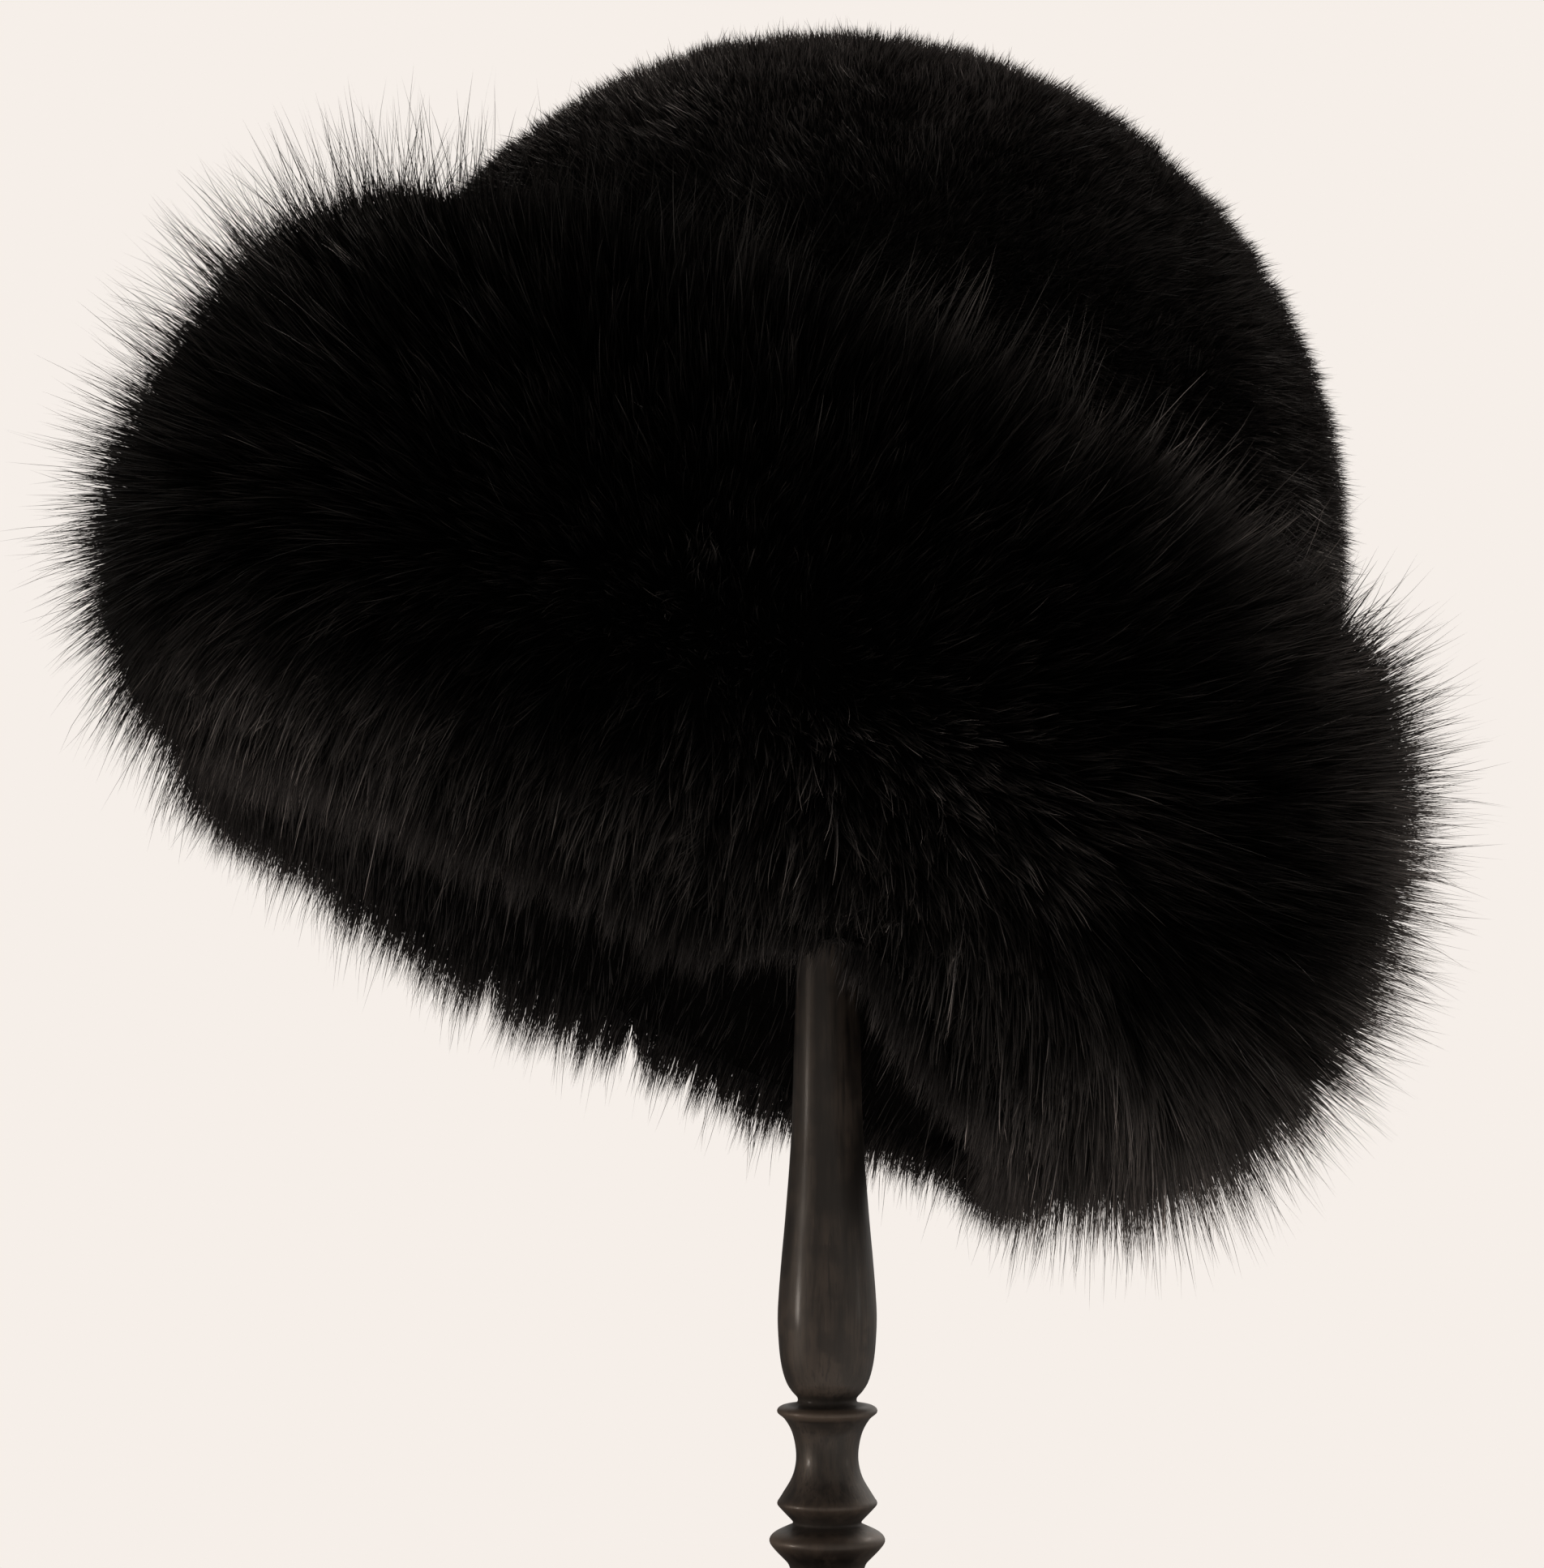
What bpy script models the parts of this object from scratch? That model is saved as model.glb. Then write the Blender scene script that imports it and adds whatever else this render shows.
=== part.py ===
# Fur hat with a round short-pile crown and a deep long-haired cuff, leaning on a turned wooden stand.
# Metres, +Z up. The stand's axis is the Z axis and its foot stands on Z = 0.

import math
import random

import bmesh
import bpy
from mathutils import Euler, Vector

# Gaps
SEAM_GAP = 0.0003  # between pieces that are sewn or glued face to face
SEAT_GAP = 0.0006  # between the crown's inside and the stand's head, at the crown's facets

# Hat, in its own frame: X front to back, Y side to side, Z up from the rim plane
OPENING_LENGTH = 0.194
OPENING_WIDTH = 0.166
CROWN_WALL = 0.010  # hide and short pile together
CROWN_LENGTH = 0.233
CROWN_WIDTH = 0.208
CROWN_HEIGHT = 0.2225
CROWN_WIDEST_HEIGHT = 0.106

CUFF_HEIGHT = 0.130
CUFF_DROP = 0.0020  # how far the cuff hangs below the rim plane
CUFF_REACH = 0.0510  # from the edge of the opening to the fullest place
LOCK_LENGTH = 0.0105  # how far the tip of a lock stands out of the cuff's mean surface
LOCK_HOLLOW = 0.004  # how deep the fur parts between locks
LOCK_COUNT = 48  # locks in one row round the hat
LOCK_ROWS = 10
LOCK_SPREAD = 0.25  # how much one lock's length may differ from the next, as a share
LOCK_SWAY = 0.45  # how far a tip may lean to the side, as a share of the way to the next point
LOCK_SEED = 11

# The cuff's outline from the edge of the opening, round the outside, to the crown
CUFF_SECTION = (
    # height share, reach share
    (0.00, 0.03),
    (0.02, 0.26),
    (0.06, 0.50),
    (0.13, 0.73),
    (0.22, 0.87),
    (0.33, 0.96),
    (0.45, 1.00),
    (0.57, 0.98),
    (0.70, 0.92),
    (0.81, 0.83),
    (0.91, 0.68),
    (0.98, 0.50),
    (1.00, 0.38),
)

# How the hat leans on the stand
LEAN_SIDE = math.radians(27.0)  # the crown towards +X
LEAN_BACK = math.radians(11.0)  # the crown towards +Y

# Stand
STAND_HEIGHT = 0.390
FOOT_RADIUS = 0.080
FOOT_EDGE = 0.011  # height of the foot's rounded edge
HUB_RADIUS = 0.017
HUB_HEIGHT = 0.040
FOOT_BEVEL = 0.0015
TENON_RADIUS = 0.0060
TENON_LENGTH = 0.014
TENON_GAP = 0.0003
TURNING_HEIGHT = 0.152  # from the hub to the thin end of the vase
BELLY_RADIUS = 0.0113
NECK_RADIUS = 0.0064  # of the plain shaft, where it meets the head
HEAD_RADIUS = 0.030
HEAD_DOME = 0.042  # radius of the head's round top
HEAD_EDGE = 0.006

# The spindle's outline above the hub, up to where its plain shaft begins
SPINDLE_SECTION = (
    # height share of TURNING_HEIGHT, radius share of BELLY_RADIUS
    (0.000, 0.92),
    (0.030, 0.72),
    (0.072, 0.78),
    (0.096, 1.08),
    (0.108, 1.19),
    (0.120, 1.06),
    (0.130, 0.80),
    (0.134, 0.68),
    (0.148, 0.84),
    (0.164, 1.01),
    (0.178, 0.90),
    (0.205, 0.70),
    (0.235, 0.63),
    (0.268, 0.70),
    (0.290, 0.86),
    (0.300, 1.02),
    (0.309, 0.97),
    (0.313, 0.62),
    (0.322, 0.59),
    (0.330, 0.70),
    (0.346, 0.83),
    (0.372, 0.93),
    (0.406, 0.98),
    (0.452, 1.00),
    (0.520, 0.94),
    (0.600, 0.84),
    (0.720, 0.73),
    (0.850, 0.67),
    (1.000, 0.60),
)

# Facets
CROWN_SIDES = 48
WALL_STEPS = 5
DOME_STEPS = 9
TURNED_SIDES = 24
FOOT_SIDES = 40
ROUND_STEPS = 4


def clear_scene():
    for thing in list(bpy.data.objects):
        bpy.data.objects.remove(thing)


def make_material(name, colour, roughness, metallic=0.0):
    material = bpy.data.materials.new(name)
    material.use_nodes = True
    surface = material.node_tree.nodes["Principled BSDF"]
    surface.inputs["Base Color"].default_value = (*colour, 1.0)
    surface.inputs["Roughness"].default_value = roughness
    surface.inputs["Metallic"].default_value = metallic
    return material


def add_object(name, mesh, material, parent=None):
    thing = bpy.data.objects.new(name, mesh)
    thing.data.materials.append(material)
    thing.parent = parent
    bpy.context.scene.collection.objects.link(thing)
    return thing


def curve_through(rows, steps):
    """Points spaced evenly along a smooth curve through rows of two numbers."""
    ends = [rows[0], *rows, rows[-1]]
    fine = []
    for before, start, end, after in zip(ends, ends[1:], ends[2:], ends[3:]):
        for k in range(12):
            t = k / 12
            fine.append(
                [
                    0.5
                    * (
                        2 * q
                        + (r - p) * t
                        + (2 * p - 5 * q + 4 * r - s) * t**2
                        + (3 * q - p - 3 * r + s) * t**3
                    )
                    for p, q, r, s in zip(before, start, end, after)
                ]
            )
    fine.append(list(rows[-1]))
    travelled = [0.0]
    for a, b in zip(fine, fine[1:]):
        travelled.append(travelled[-1] + math.dist(a, b))
    even, place = [], 0
    for k in range(steps + 1):
        target = travelled[-1] * k / steps
        while place < len(fine) - 2 and travelled[place + 1] < target:
            place += 1
        share = (target - travelled[place]) / (travelled[place + 1] - travelled[place])
        even.append([a + (b - a) * share for a, b in zip(fine[place], fine[place + 1])])
    return even


def crown_oval(height, inset=0.0):
    """Half length and half width of the crown at this height, inset inwards from its outside."""
    halves = []
    openings = (OPENING_LENGTH, OPENING_WIDTH)
    for widest, opening in zip((CROWN_LENGTH, CROWN_WIDTH), openings):
        full = widest / 2 - inset
        rim = opening / 2 + CROWN_WALL - inset
        if height <= CROWN_WIDEST_HEIGHT:
            swell = math.sin(math.pi / 2 * height / CROWN_WIDEST_HEIGHT)
            halves.append(rim + (full - rim) * swell)
        else:
            dome = CROWN_HEIGHT - inset - CROWN_WIDEST_HEIGHT
            rise = min((height - CROWN_WIDEST_HEIGHT) / dome, 1.0)
            halves.append(full * math.sqrt(1 - rise**2))
    return halves


def crown_heights(inset=0.0):
    """Heights of the crown's rings: the wall up to the widest place, then the dome."""
    dome = CROWN_HEIGHT - inset - CROWN_WIDEST_HEIGHT
    wall = [CROWN_WIDEST_HEIGHT * k / WALL_STEPS for k in range(WALL_STEPS)]
    turns = [math.pi / 2 * k / DOME_STEPS for k in range(DOME_STEPS)]
    return wall + [CROWN_WIDEST_HEIGHT + dome * math.sin(turn) for turn in turns]


def oval_ring(mesh, halves, height, sides):
    turns = [2 * math.pi * k / sides for k in range(sides)]
    return [
        mesh.verts.new((halves[0] * math.cos(t), halves[1] * math.sin(t), height))
        for t in turns
    ]


def join_rings(mesh, lower, upper):
    for k, corner in enumerate(lower):
        after = (k + 1) % len(lower)
        mesh.faces.new((corner, lower[after], upper[after], upper[k]))


def cap_ring(mesh, ring, tip):
    for k, corner in enumerate(ring):
        mesh.faces.new((corner, ring[(k + 1) % len(ring)], tip))


def finish_mesh(name, mesh, sharp_degrees=40):
    bmesh.ops.recalc_face_normals(mesh, faces=mesh.faces)
    data = bpy.data.meshes.new(name)
    mesh.to_mesh(data)
    mesh.free()
    data.shade_smooth()
    data.set_sharp_from_angle(angle=math.radians(sharp_degrees))
    return data


def build_crown(hat, material):
    """Hollow dome, open at the rim, as thick as the hide and its short pile."""
    mesh = bmesh.new()
    skins = []
    for inset in (0.0, CROWN_WALL):
        rings = [
            oval_ring(mesh, crown_oval(height, inset), height, CROWN_SIDES)
            for height in crown_heights(inset)
        ]
        for lower, upper in zip(rings, rings[1:]):
            join_rings(mesh, lower, upper)
        cap_ring(mesh, rings[-1], mesh.verts.new((0, 0, CROWN_HEIGHT - inset)))
        skins.append(rings)
    join_rings(mesh, skins[0][0], skins[1][0])
    return add_object("crown", finish_mesh("crown", mesh), material, hat)


def cuff_outline():
    """Reach, height, and outward and along directions at each row of the cuff's outside."""
    rows = [
        (reach * CUFF_REACH, share * CUFF_HEIGHT - CUFF_DROP)
        for share, reach in CUFF_SECTION
    ]
    points = curve_through(rows, 2 * LOCK_ROWS)
    outline = []
    for k, point in enumerate(points):
        before = Vector(points[max(k - 1, 0)])
        after = Vector(points[min(k + 1, len(points) - 1)])
        along = (after - before).normalized()
        outline.append((Vector(point), Vector((along.y, -along.x)), along))
    return outline


def cuff_rows():
    """Rows of the cuff's fur: the reach, height and place round the hat of each point."""
    chance = random.Random(LOCK_SEED)
    outline = cuff_outline()
    spacing = (outline[1][0] - outline[0][0]).length
    rows = []
    for j, (point, outward, along) in enumerate(outline):
        part_way = 2 * j / (len(outline) - 1) - 1  # -1 at the opening, 1 at the crown
        swell = math.sqrt(max(0.0, 1 - part_way**8))  # the first and last rows stay put
        row = []
        for i in range(2 * LOCK_COUNT):
            size = 1 + LOCK_SPREAD * (2 * chance.random() - 1)
            is_tip = j % 2 == 1 and i % 2 == (j // 2) % 2
            stand = LOCK_LENGTH * size if is_tip else -LOCK_HOLLOW * size
            lay = spacing * part_way * size if is_tip else 0.0
            sway = LOCK_SWAY * (2 * chance.random() - 1) * swell if is_tip else 0.0
            row.append((*(point + (outward * stand + along * lay) * swell), i + sway))
        rows.append(row)
    return rows


def cuff_lining():
    """Reach-free inner path of the cuff: half length, half width and height of each ring."""
    top = CUFF_HEIGHT - CUFF_DROP
    edge_reach = CUFF_SECTION[0][1] * CUFF_REACH
    under_rim = [OPENING_LENGTH / 2 + edge_reach, OPENING_WIDTH / 2 + edge_reach]
    rings = [(*under_rim, -SEAM_GAP)]
    heights = [-SEAM_GAP] + [h for h in crown_heights()[1:] if h < top] + [top]
    for height in heights:
        halves = crown_oval(max(height, 0.0))
        rings.append((halves[0] + SEAM_GAP, halves[1] + SEAM_GAP, height))
    return rings


def build_cuff(hat, material):
    """Deep fur in rows of locks, fused to a backing ring that lies against the crown's wall."""
    mesh = bmesh.new()
    sides = 2 * LOCK_COUNT
    fur = []
    for row in cuff_rows():
        ring = []
        for reach, height, place in row:
            turn = 2 * math.pi * place / sides
            x = (OPENING_LENGTH / 2 + reach) * math.cos(turn)
            y = (OPENING_WIDTH / 2 + reach) * math.sin(turn)
            ring.append(mesh.verts.new((x, y, height)))
        fur.append(ring)
    lining = [oval_ring(mesh, ring[:2], ring[2], sides) for ring in cuff_lining()]
    for lower, upper in zip(fur, fur[1:]):
        join_rings(mesh, lower, upper)
    for lower, upper in zip(lining, lining[1:]):
        join_rings(mesh, lower, upper)
    join_rings(mesh, fur[0], lining[0])
    join_rings(mesh, fur[-1], lining[-1])
    return add_object("cuff", finish_mesh("cuff", mesh, 25), material, hat)


def place_hat():
    """An empty that leans the hat, with the crown's highest inside point on the stand's axis."""
    turn = Euler((-LEAN_BACK, LEAN_SIDE, 0), "XYZ").to_matrix()
    up = turn.transposed() @ Vector((0, 0, 1))
    halves = (
        CROWN_LENGTH / 2 - CROWN_WALL,
        CROWN_WIDTH / 2 - CROWN_WALL,
        CROWN_HEIGHT - CROWN_WALL - CROWN_WIDEST_HEIGHT,
    )
    pull = Vector([half**2 * along for half, along in zip(halves, up)])
    stretch = math.sqrt(sum((half * along) ** 2 for half, along in zip(halves, up)))
    highest = Vector((0, 0, CROWN_WIDEST_HEIGHT)) + pull / stretch
    hat = bpy.data.objects.new("hat_lean", None)
    hat.location = Vector((0, 0, STAND_HEIGHT + SEAT_GAP)) - turn @ highest
    hat.rotation_euler = turn.to_euler()
    bpy.context.scene.collection.objects.link(hat)
    return hat


def turned(name, outline, sides, material):
    """A turned piece from its outline, radius and height, run down from the top."""
    data = bpy.data.meshes.new(name)
    corners = [(radius, 0, height) for radius, height in outline]
    edges = [(k, k + 1) for k in range(len(corners) - 1)]
    data.from_pydata(corners, edges, [])
    piece = add_object(name, data, material)
    lathe = piece.modifiers.new("lathe", "SCREW")
    lathe.axis = "Z"
    lathe.steps = sides
    lathe.render_steps = sides
    lathe.use_merge_vertices = True
    lathe.merge_threshold = 0.00001
    lathe.use_smooth_shade = True
    return piece


def arc(centre, radius, start, end, steps):
    """Points round an arc, in radius and height; the angles are in degrees above the horizon."""
    points = []
    for k in range(steps + 1):
        turn = math.radians(start + (end - start) * k / steps)
        points.append(
            (centre[0] + radius * math.cos(turn), centre[1] + radius * math.sin(turn))
        )
    return points


def build_foot(material):
    """Plain round foot with a rounded edge, a hollow slope and a hub with a socket for the spindle."""
    socket = TENON_RADIUS + TENON_GAP
    floor = HUB_HEIGHT - TENON_LENGTH - TENON_GAP
    edge = FOOT_EDGE / 2
    shoulder = FOOT_RADIUS - edge
    slope = [
        (
            HUB_RADIUS + (shoulder - HUB_RADIUS) * (1 - math.cos(turn)),
            HUB_HEIGHT - FOOT_BEVEL - (HUB_HEIGHT - FOOT_BEVEL - FOOT_EDGE) * math.sin(turn),
        )
        for turn in [math.pi / 2 * k / 6 for k in range(6)]
    ]
    outline = [(0, floor), (socket, floor), (socket, HUB_HEIGHT)]
    outline += [(HUB_RADIUS - FOOT_BEVEL, HUB_HEIGHT)]
    outline += slope
    outline += arc((shoulder, edge), edge, 90, -90, ROUND_STEPS)
    outline += [(0, 0)]
    return turned("stand_foot", outline, FOOT_SIDES, material)


def build_spindle(material):
    """Turned spindle: a bead, a spool and a long vase below a plain shaft, with a tenon at each end."""
    base = HUB_HEIGHT + SEAM_GAP
    shaft_top = STAND_HEIGHT - head_depth() - SEAM_GAP
    tip = shaft_top + TENON_LENGTH
    outline = [(0, tip), (TENON_RADIUS, tip), (TENON_RADIUS, shaft_top)]
    outline += [(NECK_RADIUS, shaft_top)]
    outline += [
        (BELLY_RADIUS * radius, base + TURNING_HEIGHT * share)
        for share, radius in reversed(SPINDLE_SECTION)
    ]
    foot = HUB_HEIGHT - TENON_LENGTH
    outline += [(TENON_RADIUS, base), (TENON_RADIUS, foot), (0, foot)]
    return turned("stand_spindle", outline, TURNED_SIDES, material)


def head_depth():
    """How far the underside of the head lies below its top."""
    cap = HEAD_DOME - math.sqrt(HEAD_DOME**2 - HEAD_RADIUS**2)
    return cap + HEAD_EDGE


def build_head(material):
    """Plain round cap that the crown rests on, with a socket for the spindle in its flat underside."""
    under = STAND_HEIGHT - head_depth()
    socket = TENON_RADIUS + TENON_GAP
    roof = under + TENON_LENGTH + TENON_GAP
    rim = math.degrees(math.acos(HEAD_RADIUS / HEAD_DOME))
    centre = (0, STAND_HEIGHT - HEAD_DOME)
    outline = [(0, STAND_HEIGHT)] + arc(centre, HEAD_DOME, 90, rim, 6)[1:]
    outline += [(HEAD_RADIUS, under + FOOT_BEVEL), (HEAD_RADIUS - FOOT_BEVEL, under)]
    outline += [(socket, under), (socket, roof), (0, roof)]
    return turned("stand_head", outline, TURNED_SIDES, material)


def main():
    clear_scene()
    crown_fur = make_material("crown_fur", (0.012, 0.010, 0.009), 0.75)
    cuff_fur = make_material("cuff_fur", (0.010, 0.008, 0.007), 0.60)
    wood = make_material("stand_wood", (0.045, 0.034, 0.028), 0.38)
    hat = place_hat()
    build_crown(hat, crown_fur)
    build_cuff(hat, cuff_fur)
    build_foot(wood)
    build_spindle(wood)
    build_head(wood)


main()
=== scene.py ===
import math
import bpy
import numpy as np
from mathutils import Euler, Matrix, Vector, kdtree


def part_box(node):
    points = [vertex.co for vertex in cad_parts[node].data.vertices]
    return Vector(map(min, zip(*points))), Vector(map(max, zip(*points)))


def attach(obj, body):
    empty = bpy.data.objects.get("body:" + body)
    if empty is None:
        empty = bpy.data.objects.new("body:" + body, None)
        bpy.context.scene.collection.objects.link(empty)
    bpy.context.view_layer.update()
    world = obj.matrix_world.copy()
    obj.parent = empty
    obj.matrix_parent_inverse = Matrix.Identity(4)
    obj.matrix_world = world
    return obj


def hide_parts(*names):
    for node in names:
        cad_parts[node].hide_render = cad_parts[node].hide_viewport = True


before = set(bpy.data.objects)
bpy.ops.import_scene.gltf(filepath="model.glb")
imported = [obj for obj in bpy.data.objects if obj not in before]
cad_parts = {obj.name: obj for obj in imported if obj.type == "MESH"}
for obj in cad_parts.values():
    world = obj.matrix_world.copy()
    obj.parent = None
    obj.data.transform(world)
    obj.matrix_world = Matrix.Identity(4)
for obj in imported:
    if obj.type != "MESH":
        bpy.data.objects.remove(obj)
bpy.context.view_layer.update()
print("fur hat: frame loaded")


# the hat's own frame: X front to back, Y side to side, Z up from the rim plane, in metres

hatFrame = {
    "leanSide": 27.0,  # degrees, crown towards its back
    "leanBack": 11.0,  # degrees, crown away from the viewer
    "seatGap": 0.0006,  # between the stand's head and the crown's inside
    "openingLength": 0.194,
    "openingWidth": 0.166,
    "crownWall": 0.010,
    "crownLength": 0.233,
    "crownWidth": 0.208,
    "crownHeight": 0.2225,
    "widestHeight": 0.106,
    "rimDrop": 0.002,
    "cuffHeight": 0.130,
    "cuffReach": 0.051,
    "cuffSection": (  # height share, reach share
        (0.00, 0.03), (0.02, 0.26), (0.06, 0.50), (0.13, 0.73), (0.22, 0.87),
        (0.33, 0.96), (0.45, 1.00), (0.57, 0.98), (0.70, 0.92), (0.81, 0.83),
        (0.91, 0.68), (0.98, 0.50), (1.00, 0.38),
    ),
    "raised": (297, 12.5, 0.0120, 0.055),  # hem before the shaft: turn, half width, rise, fading
}
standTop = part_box("stand_head")[1].z
openingHalves = (hatFrame["openingLength"] / 2, hatFrame["openingWidth"] / 2)


def unit(vectors):
    return vectors / np.maximum(np.linalg.norm(vectors, axis=-1, keepdims=True), 1e-12)


def awayFrom(turns, turn, halfWidth):  # in half widths; turn and half width are in degrees
    return 2 * np.sin((turns - math.radians(turn)) / 2) / math.radians(halfWidth)


def turnsOf(count):  # even steps round a whole turn
    return np.arange(count) * 2 * math.pi / count


def ovalPoints(halfLength, halfWidth, turns, heights):
    flat = [halfLength * np.cos(turns), halfWidth * np.sin(turns)]
    return np.stack([*flat, np.full(len(turns), heights)], axis=1)


def leanHat():  # how the hat's frame lies in the part's
    f = hatFrame
    turn = Euler((-math.radians(f["leanBack"]), math.radians(f["leanSide"]), 0)).to_matrix()
    up = turn.transposed() @ Vector((0, 0, 1))
    halves = [
        f["crownLength"] / 2 - f["crownWall"],
        f["crownWidth"] / 2 - f["crownWall"],
        f["crownHeight"] - f["crownWall"] - f["widestHeight"],
    ]
    pull = Vector([half**2 * part for half, part in zip(halves, up)])
    stretch = math.sqrt(sum((half * part) ** 2 for half, part in zip(halves, up)))
    highest = Vector((0, 0, f["widestHeight"])) + pull / stretch  # rests on the stand's head
    seat = Vector((0, 0, standTop + f["seatGap"]))
    return np.array(turn), np.array(seat - turn @ highest)


hatTurn, hatOrigin = leanHat()
downInHat = hatTurn.T @ np.array([0.0, 0.0, -1.0])


def toRow(points):  # from the hat's frame to the part's
    f = hatFrame
    turn, halfWidth, rise, fade = f["raised"]
    turns = np.arctan2(points[:, 1] / f["openingWidth"], points[:, 0] / f["openingLength"])
    lift = rise * np.exp(-awayFrom(turns, turn, halfWidth)**2) * np.clip(1 - points[:, 2] / fade, 0, 1)
    return (points + lift[:, None] * [0, 0, 1]) @ hatTurn.T + hatOrigin


def smoothOutline(rows, steps, finer=16):  # even points along a smooth curve through the rows
    rows = np.array(rows, float)
    ends = np.vstack([rows[:1], rows, rows[-1:]])
    fine = []
    for p, q, r, s in zip(ends, ends[1:], ends[2:], ends[3:]):
        for t in np.arange(finer) / finer:
            fine.append(0.5 * (2 * q + (r - p) * t + (2 * p - 5 * q + 4 * r - s) * t**2
                               + (3 * q - p - 3 * r + s) * t**3))
    fine = np.array(fine + [rows[-1]])
    travelled = np.concatenate([[0], np.cumsum(np.linalg.norm(np.diff(fine, axis=0), axis=1))])
    places = np.linspace(0, travelled[-1], steps + 1)
    return np.stack([np.interp(places, travelled, fine[:, k]) for k in range(2)], axis=1)


# soft noise that any piece can read at points in space

class SoftNoise:
    def __init__(self, seed, size, waves=14):
        chance = np.random.default_rng(seed)
        self.directions = unit(chance.normal(size=(waves, 3))) * (2 * math.pi / size)
        self.directions *= chance.uniform(0.6, 1.5, (waves, 1))
        self.starts = chance.uniform(0, 2 * math.pi, waves)

    def at(self, points):
        waves = np.sin(points @ self.directions.T + self.starts)
        return waves.sum(axis=1) / math.sqrt(len(self.starts) / 2)


def nearestOf(points, centres):
    tree = kdtree.KDTree(len(centres))
    for k, centre in enumerate(centres):
        tree.insert(centre, k)
    tree.balance()
    return np.array([tree.find(point)[1] for point in points])


def easeIn(values, low, high):
    t = np.clip((values - low) / (high - low), 0, 1)
    return t * t * (3 - 2 * t)


# meshes from arrays

def addObject(name, data):
    made = bpy.data.objects.new(name, data)
    bpy.context.scene.collection.objects.link(made)
    return made


def addPiece(name, mesh, material, replaced=()):
    piece = addObject(name, mesh)
    mesh.materials.append(material)
    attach(piece, "root")
    if replaced:
        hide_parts(*replaced)
    print("fur hat:", name, len(mesh.loops) - 2 * len(mesh.polygons), "triangles")


def meshFromFaces(name, points, faces, sharp=None):
    mesh = bpy.data.meshes.new(name)
    mesh.from_pydata([tuple(p) for p in points], [], faces)
    mesh.validate()
    mesh.shade_smooth()
    if sharp:
        mesh.set_sharp_from_angle(angle=math.radians(sharp))
    return mesh


def ringFaces(rings, around, base=0, closed=False):  # between rings of points, from the point numbered base
    faces = []
    for j in range(rings if closed else rings - 1):
        here, after = base + j * around, base + (j + 1) % rings * around
        for k in range(around):
            n = (k + 1) % around
            faces.append((here + k, here + n, after + n, after + k))
    return faces


strandShape = {
    "rootWidth": 0.85,  # share of a strand's width at its root
    "swell": 0.45,  # how much wider it gets on the way
    "taper": 2.2,  # how late it narrows to its point
    "cellSides": (0.15, 0.85),  # across its own cell of the UV map
    "cellEnds": (0.1, 0.9),
}


def strandMesh(name, roots, bends, tips, widths, twists, tones, lightness, segments):
    # one flat tapering ribbon for each strand
    count = len(roots)
    along = np.linspace(0, 1, segments + 1)
    a = ((1 - along) ** 2)[None, :, None]
    b = (2 * along * (1 - along))[None, :, None]
    c = (along**2)[None, :, None]
    spine = a * roots[:, None] + b * bends[:, None] + c * tips[:, None]
    chord = unit(tips - roots)
    helper = np.where(np.abs(chord[:, 2:]) < 0.9, [[0.0, 0.0, 1.0]], [[1.0, 0.0, 0.0]])
    first = unit(np.cross(chord, helper))
    second = np.cross(chord, first)
    side = np.cos(twists)[:, None] * first + np.sin(twists)[:, None] * second
    taper = (strandShape["rootWidth"] + strandShape["swell"] * along) * (1 - along ** strandShape["taper"])
    half = widths[:, None] * taper[None, :-1] / 2
    perStrand = 2 * segments + 1
    points = np.empty((count, perStrand, 3))
    points[:, 0:-1:2] = spine[:, :-1] - side[:, None] * half[:, :, None]
    points[:, 1:-1:2] = spine[:, :-1] + side[:, None] * half[:, :, None]
    points[:, -1] = spine[:, -1]
    corners = []
    for k in range(segments - 1):
        corners += [2 * k, 2 * k + 1, 2 * k + 3, 2 * k + 2]
    corners += [2 * segments - 2, 2 * segments - 1, 2 * segments]
    corners = np.array(corners)
    loops = (np.arange(count)[:, None] * perStrand + corners).ravel()
    starts = np.append(np.arange(segments - 1) * 4, (segments - 1) * 4)
    loopStarts = (np.arange(count)[:, None] * len(corners) + starts).ravel()
    mesh = bpy.data.meshes.new(name)
    mesh.vertices.add(count * perStrand)
    mesh.vertices.foreach_set("co", points.ravel())
    mesh.loops.add(len(loops))
    mesh.loops.foreach_set("vertex_index", loops)
    mesh.polygons.add(count * segments)
    mesh.polygons.foreach_set("loop_start", loopStarts)
    strand = np.zeros((count, perStrand, 3))
    strand[:, 0:-1:2, 0] = along[None, :-1]
    strand[:, 1:-1:2, 0] = along[None, :-1]
    strand[:, -1, 0] = 1
    strand[:, :, 1] = tones[:, None]
    strand[:, :, 2] = lightness[:, None]
    layer = mesh.attributes.new("strand", "FLOAT_VECTOR", "POINT")
    layer.data.foreach_set("vector", strand.ravel())
    grid = math.ceil(math.sqrt(count))
    cell = np.stack([np.arange(count) % grid, np.arange(count) // grid], axis=1) / grid
    across = np.tile(strandShape["cellSides"], segments + 1)[:perStrand]
    across[-1] = 0.5
    upCell = np.interp(strand[0, :, 0], (0, 1), strandShape["cellEnds"])
    spot = np.stack([across, upCell], axis=1) / grid
    uv = (cell[:, None] + spot[None])[:, corners]
    mesh.uv_layers.new(name="OFBake").data.foreach_set("uv", uv.ravel())
    mesh.update()
    mesh.validate()
    mesh.shade_smooth()
    return mesh


# materials

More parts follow.
